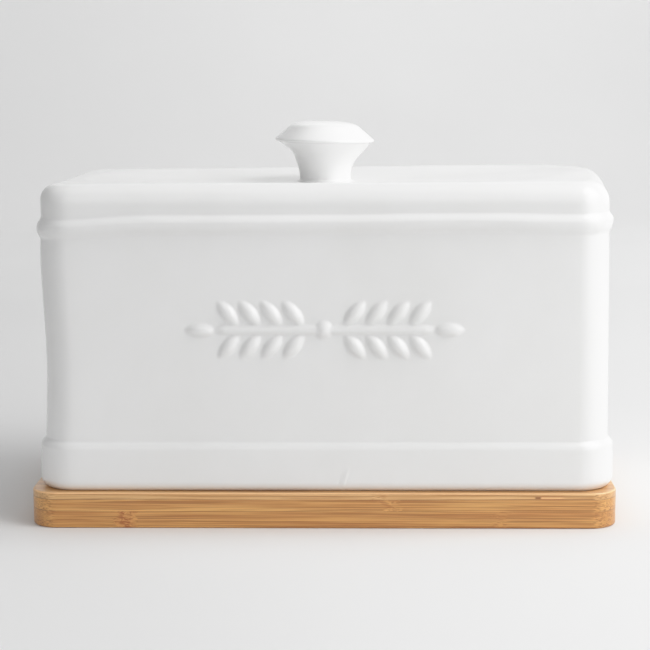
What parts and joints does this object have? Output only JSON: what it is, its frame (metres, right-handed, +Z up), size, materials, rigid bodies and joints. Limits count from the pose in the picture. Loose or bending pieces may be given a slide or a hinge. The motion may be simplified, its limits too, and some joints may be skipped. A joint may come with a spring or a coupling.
{
  "type": "bread bin",
  "caption": "Oblong glazed ceramic bread bin: a lift-off cover with a mushroom knob and raised wheat ears stands on a laminated bamboo board.",
  "frame": {"origin": "middle of the board's underside, on the surface that the bread bin stands on", "axes": "+X to the right along the width, -Y to the front with the raised motif, +Z up"},
  "size_m": [0.34, 0.188, 0.2305],
  "materials": {
    "glaze": "gloss",
    "bamboo_top": "satin",
    "bamboo_core": "satin",
    "bamboo_bottom": "satin"
  },
  "bodies": {
    "board": {"top_strip_1": "bamboo_top", "top_strip_2": "bamboo_top", "top_strip_3": "bamboo_top", "top_strip_4": "bamboo_top", "top_strip_5": "bamboo_top", "top_strip_6": "bamboo_top", "top_strip_7": "bamboo_top", "top_strip_8": "bamboo_top", "top_strip_9": "bamboo_top", "core_strip_1": "bamboo_core", "core_strip_2": "bamboo_core", "core_strip_3": "bamboo_core", "core_strip_4": "bamboo_core", "core_strip_5": "bamboo_core", "core_strip_6": "bamboo_core", "core_strip_7": "bamboo_core", "core_strip_8": "bamboo_core", "core_strip_9": "bamboo_core", "core_strip_10": "bamboo_core", "bottom_strip_1": "bamboo_bottom", "bottom_strip_2": "bamboo_bottom", "bottom_strip_3": "bamboo_bottom", "bottom_strip_4": "bamboo_bottom", "bottom_strip_5": "bamboo_bottom", "bottom_strip_6": "bamboo_bottom", "bottom_strip_7": "bamboo_bottom", "bottom_strip_8": "bamboo_bottom", "bottom_strip_9": "bamboo_bottom"},
    "cover": {"cover": "glaze", "knob": "glaze"}
  },
  "joints": [
    {"name": "cover_lift", "type": "slide", "parent": "board", "child": "cover", "axis": [0, 0, 1], "range_m": [0, 0.2]}
  ]
}
